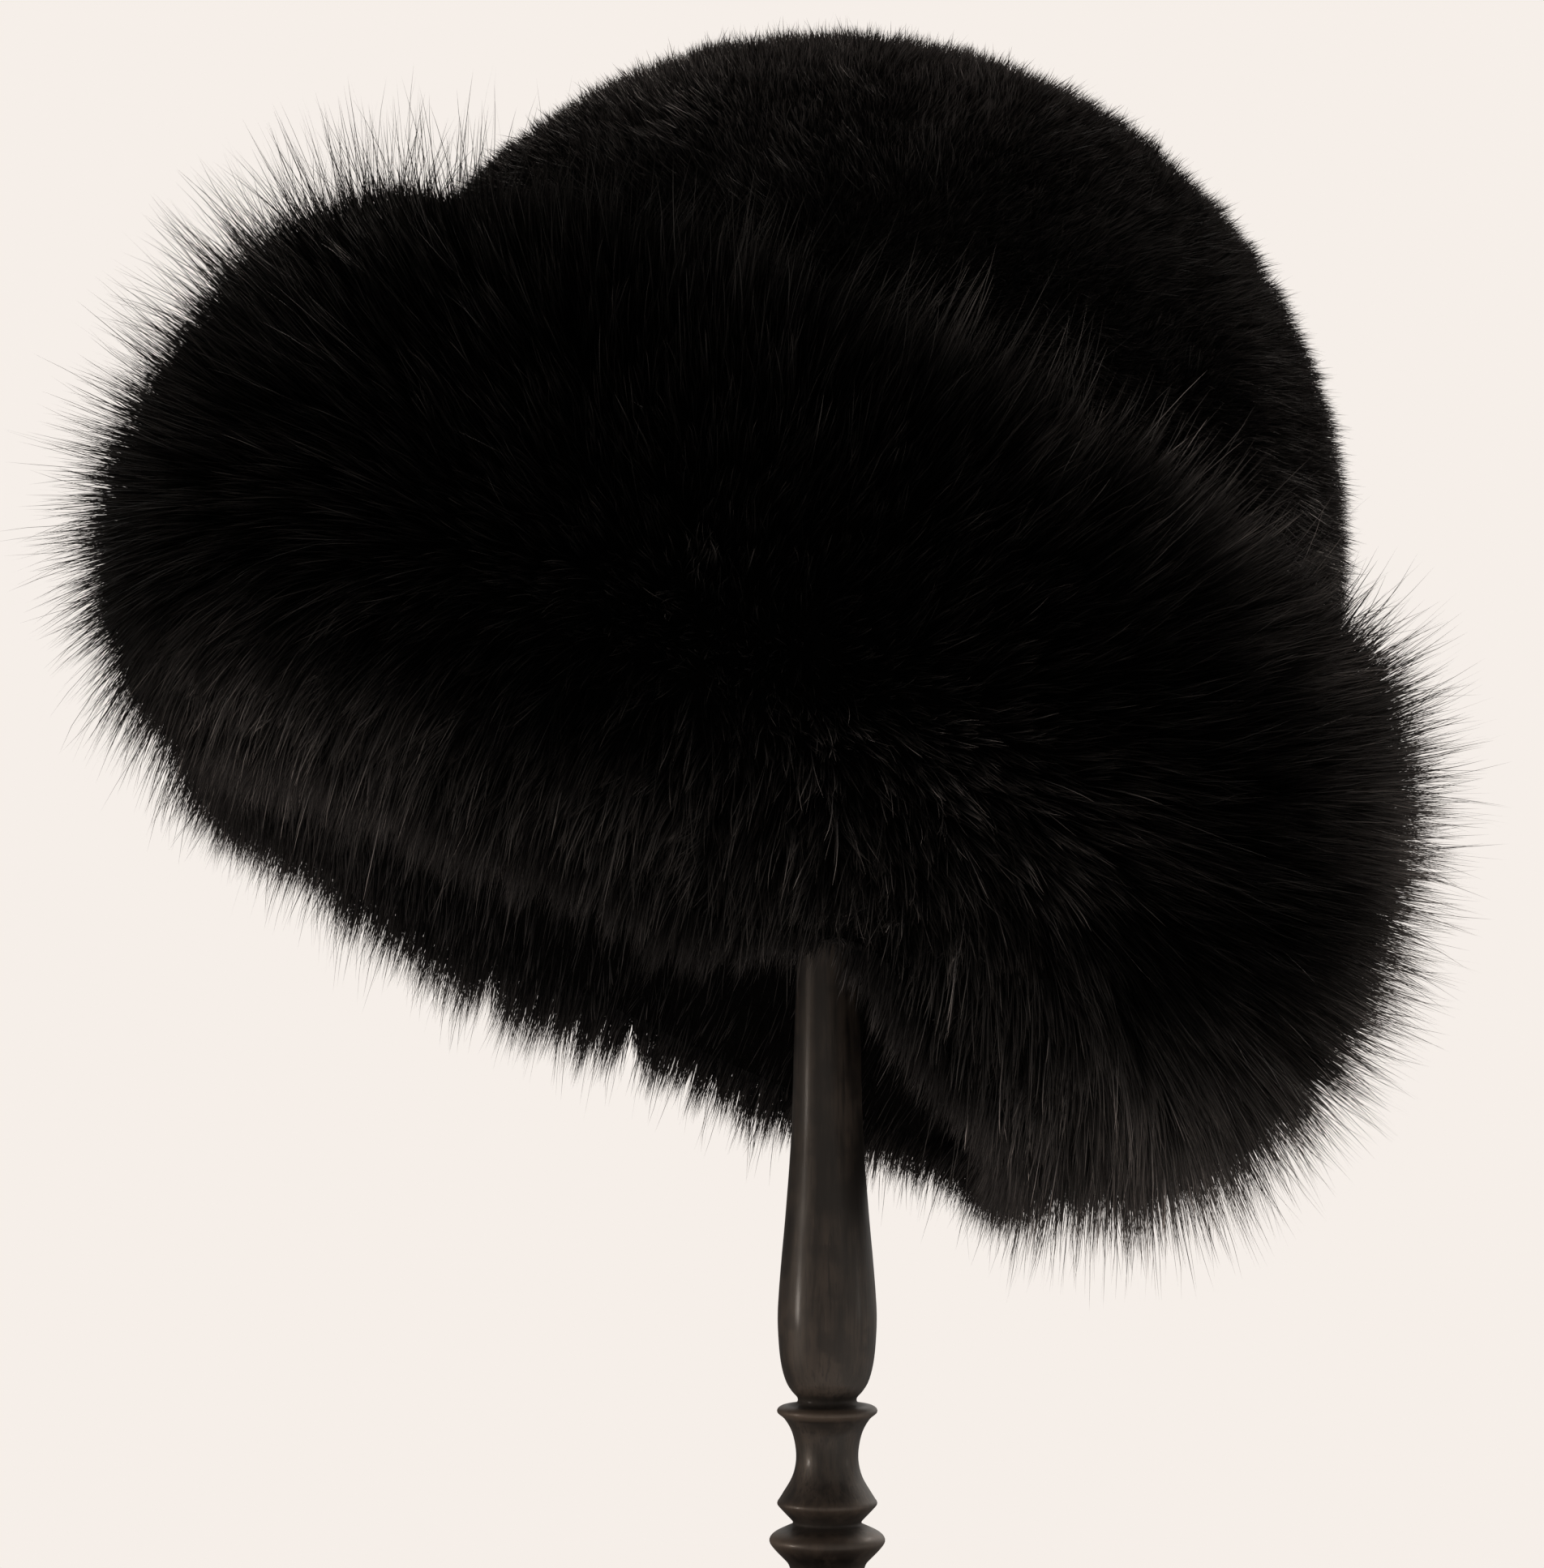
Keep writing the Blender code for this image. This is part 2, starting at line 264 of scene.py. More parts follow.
def nodeGroup(name, inputs, outputs):
    group = bpy.data.node_groups.new(name, "ShaderNodeTree")
    for label, value in inputs.items():
        kind = "Color" if "Colour" in label else "Vector" if isinstance(value, tuple) else "Float"
        socket = group.interface.new_socket(label, in_out="INPUT", socket_type="NodeSocket" + kind)
        socket.default_value = (*value, 1) if kind == "Color" else value
    for label in outputs:
        kind = "Color" if "Colour" in label else "Float"
        group.interface.new_socket(label, in_out="OUTPUT", socket_type="NodeSocket" + kind)
    given, results = group.nodes.new("NodeGroupInput"), group.nodes.new("NodeGroupOutput")
    return group, given.outputs, results.inputs


def objectPlace(tree):
    return tree.nodes.new("ShaderNodeTexCoord").outputs["Object"]


def attributeOutputs(tree, name):
    node = tree.nodes.new("ShaderNodeAttribute")
    node.attribute_name = name
    return node.outputs


def noiseNode(tree, vector, scale, detail=3.0, roughness=0.55):
    noise = tree.nodes.new("ShaderNodeTexNoise")
    noise.inputs["Detail"].default_value = detail
    noise.inputs["Roughness"].default_value = roughness
    tree.links.new(vector, noise.inputs["Vector"])
    if isinstance(scale, (int, float)):
        noise.inputs["Scale"].default_value = scale
    else:
        tree.links.new(scale, noise.inputs["Scale"])
    return noise.outputs["Fac"]


def mathNode(tree, operation, first, second):
    node = tree.nodes.new("ShaderNodeMath")
    node.operation = operation
    for socket, value in zip(node.inputs, (first, second)):
        if isinstance(value, (int, float)):
            socket.default_value = value
        else:
            tree.links.new(value, socket)
    return node.outputs[0]


def times(tree, first, second):
    return mathNode(tree, "MULTIPLY", first, second)


def plus(tree, first, second):
    return mathNode(tree, "ADD", first, second)


def mixColour(tree, factor, first, second, blend="MIX"):
    node = tree.nodes.new("ShaderNodeMix")
    node.data_type = "RGBA"
    node.blend_type = blend
    for socket, value in zip((node.inputs[0], node.inputs[6], node.inputs[7]), (factor, first, second)):
        if isinstance(value, (int, float)):
            socket.default_value = value
        elif isinstance(value, tuple):
            socket.default_value = (*value, 1)
        else:
            tree.links.new(value, socket)
    return node.outputs[2]


def vectorNode(tree, operation, first, second=None):
    node = tree.nodes.new("ShaderNodeVectorMath")
    node.operation = operation
    tree.links.new(first, node.inputs[0])
    if isinstance(second, Vector):
        node.inputs[1].default_value = second
    elif second is not None:
        tree.links.new(second, node.inputs[1])
    return node.outputs["Value" if operation in ("LENGTH", "DOT_PRODUCT") else "Vector"]


def mixShaders(tree, share, first, second):
    node = tree.nodes.new("ShaderNodeMixShader")
    for socket, value in zip(node.inputs, (share, first, second)):
        tree.links.new(value, socket)
    return node.outputs[0]


def mapRange(tree, value, low, high, newLow, newHigh, smooth=False):
    node = tree.nodes.new("ShaderNodeMapRange")
    node.interpolation_type = "SMOOTHSTEP" if smooth else "LINEAR"
    tree.links.new(value, node.inputs["Value"])
    for label, number in zip(("From Min", "From Max", "To Min", "To Max"), (low, high, newLow, newHigh)):
        node.inputs[label].default_value = number
    return node.outputs["Result"]


def placeGroup(tree, group, values):
    node = tree.nodes.new("ShaderNodeGroup")
    node.node_tree = group
    for label, value in values.items():
        socket = node.inputs[label]
        socket.default_value = (*value, 1) if socket.type == "RGBA" else value
    return node


def plainMaterial(name, **settings):
    material = bpy.data.materials.new(name)
    material.use_nodes = True
    surface = material.node_tree.nodes["Principled BSDF"]
    for label, value in settings.items():
        surface.inputs[label.replace("_", " ")].default_value = value
    return material, material.node_tree, surface


def addBump(tree, surface, height, strength, distance):
    bump = tree.nodes.new("ShaderNodeBump")
    bump.inputs["Strength"].default_value = strength
    bump.inputs["Distance"].default_value = distance
    tree.links.new(height, bump.inputs["Height"])
    tree.links.new(bump.outputs["Normal"], surface.inputs["Normal"])


def furToneGroup():
    group, given, results = nodeGroup("furTone", {
        "Root Colour": (0.004, 0.003, 0.003),
        "Tip Colour": (0.03, 0.024, 0.02),
        "Patch Scale": 30.0,
        "Strand Contrast": 0.5,
        "Painted Glint Strands": 1.0,
    }, ("Colour", "Roughness"))
    split = group.nodes.new("ShaderNodeSeparateXYZ")
    group.links.new(attributeOutputs(group, "strand")["Vector"], split.inputs[0])
    along, number, lightness = split.outputs  # root to tip, the strand's own number, its lightness
    patches = noiseNode(group, objectPlace(group), given["Patch Scale"], 2.0)
    nearTip = mathNode(group, "POWER", along, 2.8)
    body = mixColour(group, nearTip, given["Root Colour"], given["Tip Colour"])
    strandTone = mapRange(group, number, 0, 1, -0.5, 0.5)
    strandTone = times(group, strandTone, given["Strand Contrast"])
    patchTone = mapRange(group, patches, 0.3, 0.7, -0.25, 0.25)
    tone = plus(group, plus(group, strandTone, patchTone), 1.0)
    shuffled = mathNode(group, "FRACT", times(group, number, 37.0), 0)
    pick = mapRange(group, shuffled, 0.87, 1.0, 0, 1)  # painted highlights: a few strands, whatever their tone, are painted lighter as glinting strands
    tone = plus(group, tone, times(group, pick, given["Painted Glint Strands"]))
    # the strand's lightness carries painted light and shade as well as its own tone
    tone = times(group, tone, lightness)
    grey = group.nodes.new("ShaderNodeCombineColor")
    for socket in grey.inputs:
        group.links.new(tone, socket)
    shaded = mixColour(group, 1.0, body, grey.outputs[0], "MULTIPLY")
    group.links.new(shaded, results["Colour"])
    group.links.new(mapRange(group, number, 0, 1, 0.34, 0.54), results["Roughness"])
    return group


def hideFibreGroup():
    group, given, results = nodeGroup("hideFibres", {
        "Dark Colour": (0.001, 0.001, 0.001),
        "Light Colour": (0.004, 0.003, 0.003),
        "Fibre Scale": 900.0,
    }, ("Colour", "Height"))
    fibres = noiseNode(group, objectPlace(group), given["Fibre Scale"], 4.0, 0.7)
    colour = mixColour(group, fibres, given["Dark Colour"], given["Light Colour"])
    group.links.new(colour, results["Colour"])
    group.links.new(fibres, results["Height"])
    return group


def groupMaterial(name, group, values, bump=None, **settings):  # bump: strength and distance
    material, tree, surface = plainMaterial(name, **settings)
    node = placeGroup(tree, group, values)
    for label, socket in (("Colour", "Base Color"), ("Roughness", "Roughness")):
        if label in node.outputs:
            tree.links.new(node.outputs[label], surface.inputs[socket])
    if bump:
        addBump(tree, surface, node.outputs["Height"], *bump)
    return material


furs = {  # root and tip colour, patch scale, strand contrast, painted glint strands, specular
    "cuffGuard": ((0.0036, 0.0034, 0.0034), (0.0290, 0.0248, 0.0228), 28.0, 1.1, 3.6, 0.26),
    "cuffDown": ((0.0027, 0.0026, 0.0026), (0.0210, 0.0182, 0.0170), 28.0, 0.9, 1.0, 0.14),
    "crownPile": ((0.0036, 0.0034, 0.0034), (0.0365, 0.0317, 0.0300), 60.0, 1.1, 0.9, 0.18),
    "liningHair": ((0.0030, 0.0028, 0.0028), (0.0200, 0.0174, 0.0165), 28.0, 0.9, 0.3, 0.10),
}
shadedHides = {  # the skin beneath the strands, whose near black is partly painted shade so the gaps between strands read as deep shadow: dark and light colour, specular
    "cuffSkin": ((0.00064, 0.00052, 0.00048), (0.0016, 0.0013, 0.0012), 0.03),
    "crownSkin": ((0.00168, 0.00128, 0.00112), (0.0042, 0.0032, 0.0028), 0.12),
}


def makeFinishes():
    furTone, hideFibres = furToneGroup(), hideFibreGroup()
    labels = ("Root Colour", "Tip Colour", "Patch Scale", "Strand Contrast", "Painted Glint Strands")
    made = {}
    for name, (*values, specular) in furs.items():
        made[name] = groupMaterial(name, furTone, dict(zip(labels, values)), Specular_IOR_Level=specular,
                                   Specular_Tint=(1.0, 0.92, 0.87, 1))
    for name, (dark, light, specular) in shadedHides.items():
        made[name] = groupMaterial(name, hideFibres, {"Dark Colour": dark, "Light Colour": light},
                                   (0.8, 0.001), Roughness=0.95, Specular_IOR_Level=specular)
    return made


finishes = makeFinishes()


def addHair(name, chance, roots, bends, tips, light, width, segments, finish, lightSpread=0):
    count = len(roots)
    widths, twists = chance.uniform(*width, count), chance.uniform(0, math.pi, count)
    tones = chance.uniform(0, 1, count)
    if lightSpread:
        light = light * np.exp(chance.normal(0, lightSpread, count))
    mesh = strandMesh(name, toRow(roots), toRow(bends), toRow(tips), widths, twists, tones, light, segments)
    addPiece(name, mesh, finishes[finish])


print("fur hat: fur finishes made")


# the cuff: a rolled ring of long fur over a dark core

cuff = {
    "coreDepth": 0.010,  # skin below the solid's mean surface
    "edgeDepth": 0.0028,  # the same at the hem and at the crown
    "coreStart": 0.03,  # share of the section where the core begins
    "coreTurns": 180,
    "coreRows": 44,
    "coreLumps": (0.03, 0.0008),  # their size and height
    "backRows": 9,  # rows of the core down the crown's hide
    "back": (0.0003, 0.0008),  # how far outside the hide they lie, and the lowest one's height
    "meanGirth": 0.83,  # metres round the middle of the cuff
    "hangs": (0.10, 0.50),  # shares of the section where hair hangs most and no longer
    "front": (0.45, 0.80),  # shares between which a layer's length changes at the front
    "flow": 0.22,  # lean towards the crown above the middle and the hem below it
    "flowRise": 2.4,
    "swirl": 0.10,  # lean round the hat, in patches
    "sag": 0.07,
    "hemSag": 1.60,
    "hemTurn": 0.45,  # how far it turns from the skin's outward direction there
    "arch": 0.10,
    "wander": 0.03,  # how far a strand's bend strays, as a share of its length
    "lengthDraw": (1.7, 2.0),  # most strands are a little shorter than the middle of their range
    "tuftSize": 0.045,
    "tuftFlow": 0.35,
    "tuftLength": 0.10,
    "clumps": (  # spacing, own lean, least and most length, pull, spread of lightness
        (0.0034, 0.11, 0.86, 1.14, 1.0, 0.34), (0.0085, 0.10, 0.80, 1.22, 0.65, 0.32),
    ),
    "clumpReach": 0.55,  # where a clump's tip lies in the range of its strands
    "gather": (0.3, 1.0, 0.8, 0.9),  # least and most share of a clump's pull, more at the hem, limit
    "leastReach": -0.003,
    "mostReach": 0.0300,
    "seed": 5,
    "gap": (292, 6.5, 0.30, 0.009),  # between tufts by the shaft: turn, half width, share, cut
    "gapDent": 0.20,  # how much of the cut the skin gives way
    "tousled": (291, 12, 0.24, 0.15, 2.3),  # turn, half width, share, its spread, more lean
    "tousledPaintedGlints": (2.6, 0.80),  # painted glints: lightness of one tuft in five there, painted lighter as strands that catch the light, and of the others
    "tableReach": (0.35, 0.16, 0.15),  # how far a row below counts: round, along, and how softly
    "grown": (  # where the hair is longer: turn in degrees, share of the section, mm
        (182, 0.39, 5), (182, 0.28, 3.2), (188, 0.58, 2.6), (192, 0.76, 8.6), (198, 0.91, 2.5),
        (206, 0.97, -6), (168, 0.12, 5.2), (136, 0, 3), (104, 0, 8), (76, 0, -2.2),
        (60, 0, -1.2), (32, 0.04, -5.6), (302, 0, -8), (314, 0.02, -4), (10, 0.12, 6.6),
        (0, 0.26, 7.6), (354, 0.45, 10.4), (350, 0.78, 8.8), (344, 0.89, 6), (328, 0.96, 2.2),
        (197, 0, -4), (216, 0, 2), (245, 0, 0.5), (270, 0, -2), (290, 0, -3),
        (262, 0.98, 5), (288, 1, 8), (310, 0.98, 5.5), (235, 0.96, 1), (240, 0.5, 0),
        (270, 0.5, 0), (310, 0.5, 2), (60, 0.55, 1), (90, 0.55, 0.5), (120, 0.55, 1),
        (60, 0.97, 2), (110, 0.97, 2),
    ),
    "paintedLightAndShade": (  # painted light and shade: how light the hair is painted, lighter where light falls on it and darker where it lies in shade; turn in degrees, share of the section, lightness
        (182, 0.28, 0.25), (184, 0.48, 0.2), (200, 0.75, 0.2), (190, 0.95, 0.35), (220, 0.6, 0.3),
        (250, 0.5, 0.3), (240, 0.85, 0.3), (270, 0.8, 0.3), (275, 0.55, 0.35), (180, 0.05, 2.4),
        (215, 0.06, 5.2), (206, 0.32, 0.3), (228, 0.33, 0.3), (250, 0.33, 0.4), (235, 0.06, 3.5),
        (255, 0.06, 2.4), (275, 0.08, 1.9), (290, 0.4, 3.2), (310, 0.06, 2.3), (316, 0.42, 0.5),
        (330, 0.12, 3.6), (350, 0.2, 4.4), (320, 0.56, 0.25), (300, 0.66, 0.25), (348, 0.7, 3.4),
        (290, 0.99, 2.1), (312, 0.95, 1.8), (330, 0.95, 1.6), (295, 0.85, 0.5), (20, 0.15, 2.6),
        (60, 0.08, 4), (100, 0.08, 4.5), (145, 0.08, 4), (20, 0.6, 1.4), (60, 0.6, 0.9),
        (100, 0.6, 0.8), (140, 0.6, 0.8), (60, 0.95, 1.2), (110, 0.95, 1.1), (150, 0.92, 0.8),
    ),
    "layers": {  # metres out of the surface, width, and how much of each effect it takes
        "cuffGuardHair": {
            "count": 27500, "out": (0.003, 0.0150), "width": (0.00020, 0.00032), "segments": 4,
            "pull": 0.52, "ownLean": 0.15, "front": -0.40, "hem": 0.20, "grown": 1.0, "seed": 25,
            "finish": "cuffGuard"},
        "cuffLongHair": {
            "count": 12000, "out": (0.008, 0.0225), "width": (0.00013, 0.00021), "segments": 4,
            "pull": 0.22, "ownLean": 0.17, "front": 0.50, "hem": 0.10, "grown": 1.0, "seed": 65,
            "finish": "cuffGuard"},
        "cuffDownA": {
            "count": 60000, "out": (-0.001, 0.0085), "width": (0.00024, 0.00040), "segments": 2,
            "pull": 0.48, "ownLean": 0.15, "front": -0.45, "hem": -0.30, "grown": 0.75, "seed": 35,
            "finish": "cuffDown"},
    },
}
cuff["layers"]["cuffDownB"] = {**cuff["layers"]["cuffDownA"], "seed": 40}  # the same down, drawn anew


class CuffRoll:  # the cuff's section swept round the opening
    def __init__(self, steps=240):
        f = hatFrame
        rows = [(reach * f["cuffReach"], share * f["cuffHeight"] - f["rimDrop"])
                for share, reach in f["cuffSection"]]
        self.points = smoothOutline(rows, steps)
        self.along = unit(np.gradient(self.points, axis=0))
        self.out = np.stack([self.along[:, 1], -self.along[:, 0]], axis=1)
        self.length = np.linalg.norm(np.diff(self.points, axis=0), axis=1).sum()
        self.shares = np.linspace(0, 1, steps + 1)

    def read(self, table, shares):
        return np.stack([np.interp(shares, self.shares, table[:, k]) for k in range(2)], 1)

    def at(self, shares, turns, depth=0.0):
        # places, and outward, along and round directions, in the hat's frame
        out, along = unit(self.read(self.out, shares)), unit(self.read(self.along, shares))
        place = self.read(self.points, shares) - out * np.reshape(depth, (-1, 1))
        a, b = (half + place[:, 0] for half in openingHalves)
        c, s = np.cos(turns), np.sin(turns)
        where = np.stack([a * c, b * s, place[:, 1]], axis=1)
        radial = unit(np.stack([b * c, a * s, np.zeros_like(c)], axis=1))
        around = np.stack([-radial[:, 1], radial[:, 0], np.zeros_like(c)], axis=1)
        lift = np.array([0.0, 0.0, 1.0])
        outward = radial * out[:, :1] + lift * out[:, 1:]
        return where, outward, radial * along[:, :1] + lift * along[:, 1:], around


cuffRoll = CuffRoll()


def gapCut(shares, turns):  # how much shorter the hair is between the tufts by the shaft
    turn, halfWidth, share, cut = cuff["gap"]
    return cut * np.exp(-awayFrom(turns, turn, halfWidth)**2) * (1 - easeIn(shares, 0, share))


def coreDepthAt(shares, turns):
    bow = np.sin(math.pi * np.clip(shares, 0, 1)) ** 0.5
    depth = cuff["edgeDepth"] + (cuff["coreDepth"] - cuff["edgeDepth"]) * bow
    return depth + cuff["gapDent"] * gapCut(shares, turns)


def spreadOver(count, seed):  # shares and turns spread evenly by area over the roll
    chance = np.random.default_rng(seed)
    shares = chance.uniform(0, 1, count * 3)
    turns = chance.uniform(0, 2 * math.pi, count * 3)
    reach = np.interp(shares, cuffRoll.shares, cuffRoll.points[:, 0])
    girth = (hatFrame["openingLength"] + hatFrame["openingWidth"]) / 4
    keep = chance.uniform(0, 1, count * 3) < (reach + girth) / (hatFrame["cuffReach"] + girth)
    return shares[keep][:count], turns[keep][:count]


def crownHalves(height, inset):
    f = hatFrame
    halves = []
    for widest, opening in ((f["crownLength"], f["openingLength"]), (f["crownWidth"], f["openingWidth"])):
        full, rim = widest / 2 - inset, opening / 2 + f["crownWall"] - inset
        if height <= f["widestHeight"]:
            halves.append(rim + (full - rim) * math.sin(math.pi / 2 * height / f["widestHeight"]))
        else:
            dome = f["crownHeight"] - inset - f["widestHeight"]
            rise = min((height - f["widestHeight"]) / dome, 1.0)
            halves.append(full * math.sqrt(1 - rise**2))
    return halves


def buildCuffCore():
    c, f = cuff, hatFrame
    turns = turnsOf(c["coreTurns"])
    lumpSize, lumpHeight = c["coreLumps"]
    lumps = SoftNoise(c["seed"] + 1, lumpSize)
    rings = []
    for share in np.linspace(c["coreStart"], 1, c["coreRows"] + 1):
        shares = np.full(len(turns), share)
        where, out, _, _ = cuffRoll.at(shares, turns, coreDepthAt(shares, turns))
        swell = lumpHeight * math.sin(math.pi * share)
        rings.append(toRow(where + out * (lumps.at(where) * swell)[:, None]))
    top = f["cuffHeight"] - f["rimDrop"] - c["edgeDepth"]
    apart, lowest = c["back"]
    for height in np.linspace(top, lowest, c["backRows"]):  # back down, just outside the crown's hide
        halves = crownHalves(height, crown["skinDepth"] - apart)
        rings.append(toRow(ovalPoints(*halves, turns, height)))
    faces = ringFaces(len(rings), len(turns), closed=True)
    mesh = meshFromFaces("cuffCore", np.concatenate(rings), faces)
    addPiece("cuffCore", mesh, finishes["cuffSkin"], ("cuff",))


class ClumpSet:  # places that strands gather towards
    def __init__(self, spacing, lean, least, most, pull, lightness, seed):
        count = int(cuffRoll.length * cuff["meanGirth"] / spacing**2)
        chance = np.random.default_rng(seed)
        self.shares, self.turns = spreadOver(count, seed + 1)
        self.spots = cuffRoll.at(self.shares, self.turns)[0]
        self.lean = chance.normal(0, lean, (count, 2))
        self.grow = chance.uniform(least, most, count)
        self.pull = pull
        self.lightness = np.exp(chance.normal(0, lightness, count))


clumpSets = [ClumpSet(*values, cuff["seed"] + 2 + 3 * k) for k, values in enumerate(cuff["clumps"])]
tuftAlong = SoftNoise(cuff["seed"] + 10, cuff["tuftSize"])
tuftAround = SoftNoise(cuff["seed"] + 11, cuff["tuftSize"])
tuftOut = SoftNoise(cuff["seed"] + 12, cuff["tuftSize"] * 0.6)


def placesAt(table, shares, turns):  # reads a table of places smoothly between its rows
    places = np.array(table)
    around, along, soft = cuff["tableReach"]
    chords = 2 * np.sin((turns[:, None] - np.radians(places[:, 0])) / 2)  # the same after a whole turn
    gaps = (chords / around) ** 2 + ((shares[:, None] - places[:, 1]) / along) ** 2
    weights = 1 / (gaps + soft) ** 2
    return (weights @ places[:, 2]) / weights.sum(axis=1)


def grownAt(shares, turns):  # extra length, in metres
    return placesAt(cuff["grown"], shares, turns) / 1000 - gapCut(shares, turns)


def tousleAt(shares, turns):  # 1 on smooth fur, more where it is ruffled
    turn, halfWidth, share, spread, more = cuff["tousled"]
    return 1 + more * np.exp(-awayFrom(turns, turn, halfWidth)**2 - ((shares - share) / spread) ** 2)


def hairTips(spots, shares, turns, reach, lean, layer):
    c = cuff
    _, out, along, around = cuffRoll.at(shares, turns)
    atHem = 1 - easeIn(shares, *c["hangs"])
    front = np.clip(-np.cos(turns), 0, 1) ** 2 * easeIn(shares, *c["front"])
    reach = reach * (1 + layer["front"] * front + layer["hem"] * atHem)
    reach = reach * (1 + c["tuftLength"] * tuftOut.at(spots))
    least = c["leastReach"] - c["gapDent"] * gapCut(shares, turns)
    reach = np.clip(reach + layer["grown"] * grownAt(shares, turns), least, c["mostReach"])
    upwards = np.clip((shares - 0.5) * c["flowRise"], -1, 1)
    flow = c["flow"] * (upwards + c["tuftFlow"] * tuftAlong.at(spots)) + lean[:, 0]
    swirl = c["swirl"] * tuftAround.at(spots) + lean[:, 1]
    sag = c["sag"] + (c["hemSag"] - c["sag"]) * atHem
    outward = out * (1 - c["hemTurn"] * atHem)[:, None]
    way = unit(outward + along * flow[:, None] + around * swirl[:, None] + downInHat * sag[:, None])
    return spots + way * reach[:, None], out, atHem


def growCuffHair(name, layer):
    c, count, (low, high) = cuff, layer["count"], layer["out"]
    chance = np.random.default_rng(layer["seed"])
    shares, turns = spreadOver(count, layer["seed"] + 1)
    roots = cuffRoll.at(shares, turns, coreDepthAt(shares, turns))[0]
    surface = cuffRoll.at(shares, turns)[0]
    owners = [nearestOf(surface, clumps.spots) for clumps in clumpSets]
    owned = list(zip(clumpSets, owners))
    lean = sum(clumps.lean[owner] for clumps, owner in owned)
    tousle = tousleAt(shares, turns)
    lean = (lean + chance.normal(0, layer["ownLean"], (count, 2))) * tousle[:, None]
    grow = np.prod([clumps.grow[owner] for clumps, owner in owned], axis=0)
    light = np.prod([clumps.lightness[owner] for clumps, owner in owned], axis=0)
    oneInFive = owners[0] * 0.618 % 1 > 0.80
    # painted glints: one tuft in five of the ruffled patch is painted lighter
    paintedGlints = np.where(oneInFive, *c["tousledPaintedGlints"]) ** np.clip(tousle - 1, 0, 1)
    # painted light and shade from the table
    light = light * placesAt(c["paintedLightAndShade"], shares, turns) * paintedGlints
    reach = (low + (high - low) * chance.beta(*c["lengthDraw"], count)) * grow
    own, out, atHem = hairTips(surface, shares, turns, reach, lean, layer)
    tips = own.copy()
    least, most, moreAtHem, limit = c["gather"]
    for clumps, owner in owned:
        middle = (low + (high - low) * c["clumpReach"]) * clumps.grow
        ruffled = clumps.lean * tousleAt(clumps.shares, clumps.turns)[:, None]
        shared = hairTips(clumps.spots, clumps.shares, clumps.turns, middle, ruffled, layer)[0][owner]
        shift = shared - own
        shift -= out * (shift * out).sum(axis=1, keepdims=True)  # gather sideways, keep each length
        gather = layer["pull"] * clumps.pull * chance.uniform(least, most, count)
        gather = gather * (1 + moreAtHem * atHem)
        tips += shift * np.minimum(gather, limit)[:, None]
    length = np.linalg.norm(tips - roots, axis=1)
    bends = (roots + tips) / 2 + out * (c["arch"] * length)[:, None]
    bends += chance.normal(0, c["wander"], (count, 3)) * length[:, None]
    addHair(name, chance, roots, bends, tips, light, layer["width"], layer["segments"], layer["finish"])


# hair that closes the edge between the cuff's hem and the opening, and lines the opening

hem = {
    "hemHair": {"count": 22000, "length": (0.0080, 0.0170), "width": (0.00016, 0.00027), "seed": 90},
    "liningHair": {"count": 12000, "length": (0.0060, 0.0120), "width": (0.00020, 0.00034), "seed": 93},
    # painted light: the lining hair is painted lighter, as if lit from below inside the opening
    "liningPaintedLight": 7.0,
    "lightSpread": 0.25,
    "across": (-0.0003, 0.0085),  # where the hem's hair grows, from the edge of the opening outwards
    "rimHeight": 0.0005,
    "liningHeight": 0.026,  # how far up the opening's wall it grows
    "inward": 0.20,  # lean towards the opening
    "outward": 0.15,  # lean away from it beside the cuff
    "loose": (0.10, 0.08),  # each hair's own lean, across the rim and every way
    "falls": (0.62, 0.5),  # towards the hat's own underside, and straight down
    "arch": 0.05,
    "tufts": 104,
    "tuftPlace": 0.020,  # how uneven their spacing is
    "tuftLength": (0.86, 1.14),
    "tuftPull": (0.4, 1.0),
    "point": (1.10, 0.20),  # length in the middle of a tuft, and how much less at its sides
    "grown": (0.6, 1.0),  # share of the cuff's extra length it takes
    "shortest": 0.0015,
    "pull": 0.60,
}


def wallPoint(turns, heights):  # on the crown's inside wall
    rims = [crownHalves(height, hatFrame["crownWall"]) for height in heights]
    return ovalPoints(*np.array(rims).T, turns, heights)


def edgePoint(turns, spread):  # across the rim, from the opening to the cuff
    inside, outside = hem["across"]
    off = inside + (outside - inside) * spread
    a, b = openingHalves
    return ovalPoints(a + off, b + off, turns, hem["rimHeight"])


def radialAt(turns):
    a, b = openingHalves
    return unit(np.stack([b * np.cos(turns), a * np.sin(turns), np.zeros_like(turns)], axis=1))


